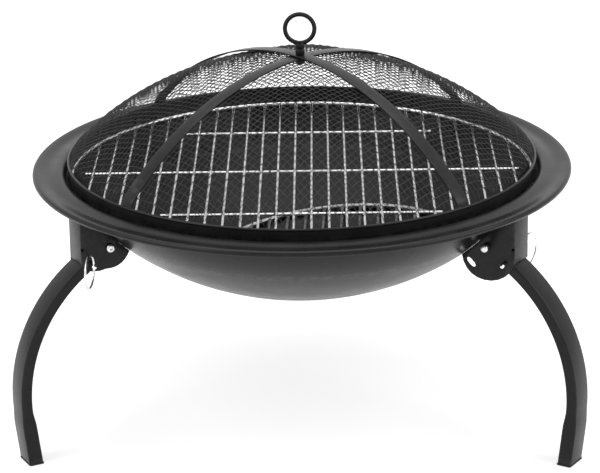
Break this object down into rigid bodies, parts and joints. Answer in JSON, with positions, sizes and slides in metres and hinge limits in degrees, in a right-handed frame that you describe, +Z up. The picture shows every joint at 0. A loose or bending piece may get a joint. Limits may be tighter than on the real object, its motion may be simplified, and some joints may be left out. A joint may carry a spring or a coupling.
{
  "type": "folding fire pit grill",
  "caption": "Round steel fire pit grill: flanged bowl on folding legs with pull-ring lock pins, cooking and charcoal grates, and a domed wire mesh lid with a ring handle.",
  "frame": {"origin": "on the ground, under the middle of the whole pit: the bottom centre of its box", "axes": "+Z up, +Y towards the rear leg, +X to the right as the picture shows it"},
  "size_m": [0.5608, 0.5871, 0.4144],
  "materials": {
    "satin_black_paint": "satin heat-resistant black paint",
    "black_wire_mesh": "black coated woven steel wire",
    "chrome_wire": "bright chrome plate",
    "grey_steel_wire": "dull grey steel wire",
    "zinc_plated_steel": "bright zinc plate",
    "black_plastic": "matt moulded black plastic"
  },
  "bodies": {
    "base": {"fire_bowl": "satin_black_paint", "bracket_rear": "satin_black_paint", "pivot_bolt_rear": "zinc_plated_steel", "pivot_nut_rear": "zinc_plated_steel", "bracket_left": "satin_black_paint", "pivot_bolt_left": "zinc_plated_steel", "pivot_nut_left": "zinc_plated_steel", "bracket_right": "satin_black_paint", "pivot_bolt_right": "zinc_plated_steel", "pivot_nut_right": "zinc_plated_steel"},
    "leg_rear_body": {"leg_rear": "satin_black_paint", "foot_cap_rear": "black_plastic"},
    "pin_rear_body": {"lock_pin_rear": "chrome_wire"},
    "ring_rear_body": {"pull_ring_rear": "chrome_wire"},
    "leg_left_body": {"leg_left": "satin_black_paint", "foot_cap_left": "black_plastic"},
    "pin_left_body": {"lock_pin_left": "chrome_wire"},
    "ring_left_body": {"pull_ring_left": "chrome_wire"},
    "leg_right_body": {"leg_right": "satin_black_paint", "foot_cap_right": "black_plastic"},
    "pin_right_body": {"lock_pin_right": "chrome_wire"},
    "ring_right_body": {"pull_ring_right": "chrome_wire"},
    "charcoal_body": {"charcoal_grate": "grey_steel_wire"},
    "grate_body": {"cooking_grate": "chrome_wire"},
    "lid_body": {"lid_hoop": "satin_black_paint", "lid_mesh": "black_wire_mesh", "strap_lower": "satin_black_paint", "strap_upper": "satin_black_paint", "handle_ring": "satin_black_paint", "handle_collar": "satin_black_paint", "handle_nut": "satin_black_paint"}
  },
  "joints": [
    {"name": "leg_fold_rear", "type": "hinge", "parent": "base", "child": "leg_rear_body", "pos_m": [0, 0.19536, 0.2118], "axis": [-1, 0, 0], "range_deg": [0, 88]},
    {"name": "pin_pull_rear", "type": "slide", "parent": "base", "child": "pin_rear_body", "axis": [-1, 0, 0], "range_m": [0, 0.04]},
    {"name": "ring_swing_rear", "type": "hinge", "parent": "pin_rear_body", "child": "ring_rear_body", "pos_m": [-0.02, 0.21505, 0.19723], "axis": [0, 0, 1], "range_deg": [-45, 75]},
    {"name": "leg_fold_left", "type": "hinge", "parent": "base", "child": "leg_left_body", "pos_m": [-0.18966, -0.13314, 0.2118], "axis": [0.5, -0.866, 0], "range_deg": [0, 88]},
    {"name": "pin_pull_left", "type": "slide", "parent": "base", "child": "pin_left_body", "axis": [0.5, -0.866, 0], "range_m": [0, 0.04]},
    {"name": "ring_swing_left", "type": "hinge", "parent": "pin_left_body", "child": "ring_left_body", "pos_m": [-0.19671, -0.1603, 0.19723], "axis": [0, 0, 1], "range_deg": [-22, 98]},
    {"name": "leg_fold_right", "type": "hinge", "parent": "base", "child": "leg_right_body", "pos_m": [0.18966, -0.13314, 0.2118], "axis": [0.5, 0.866, 0], "range_deg": [0, 88]},
    {"name": "pin_pull_right", "type": "slide", "parent": "base", "child": "pin_right_body", "axis": [0.5, 0.866, 0], "range_m": [0, 0.04]},
    {"name": "ring_swing_right", "type": "hinge", "parent": "pin_right_body", "child": "ring_right_body", "pos_m": [0.21671, -0.12566, 0.19723], "axis": [0, 0, 1], "range_deg": [-60, 60]},
    {"name": "charcoal_lift", "type": "slide", "parent": "base", "child": "charcoal_body", "axis": [0, 0, 1], "range_m": [0, 0.15]},
    {"name": "grate_lift", "type": "slide", "parent": "charcoal_body", "child": "grate_body", "axis": [0, 0, 1], "range_m": [0, 0.2]},
    {"name": "lid_lift", "type": "slide", "parent": "grate_body", "child": "lid_body", "axis": [0, 0, 1], "range_m": [0, 0.25]}
  ]
}
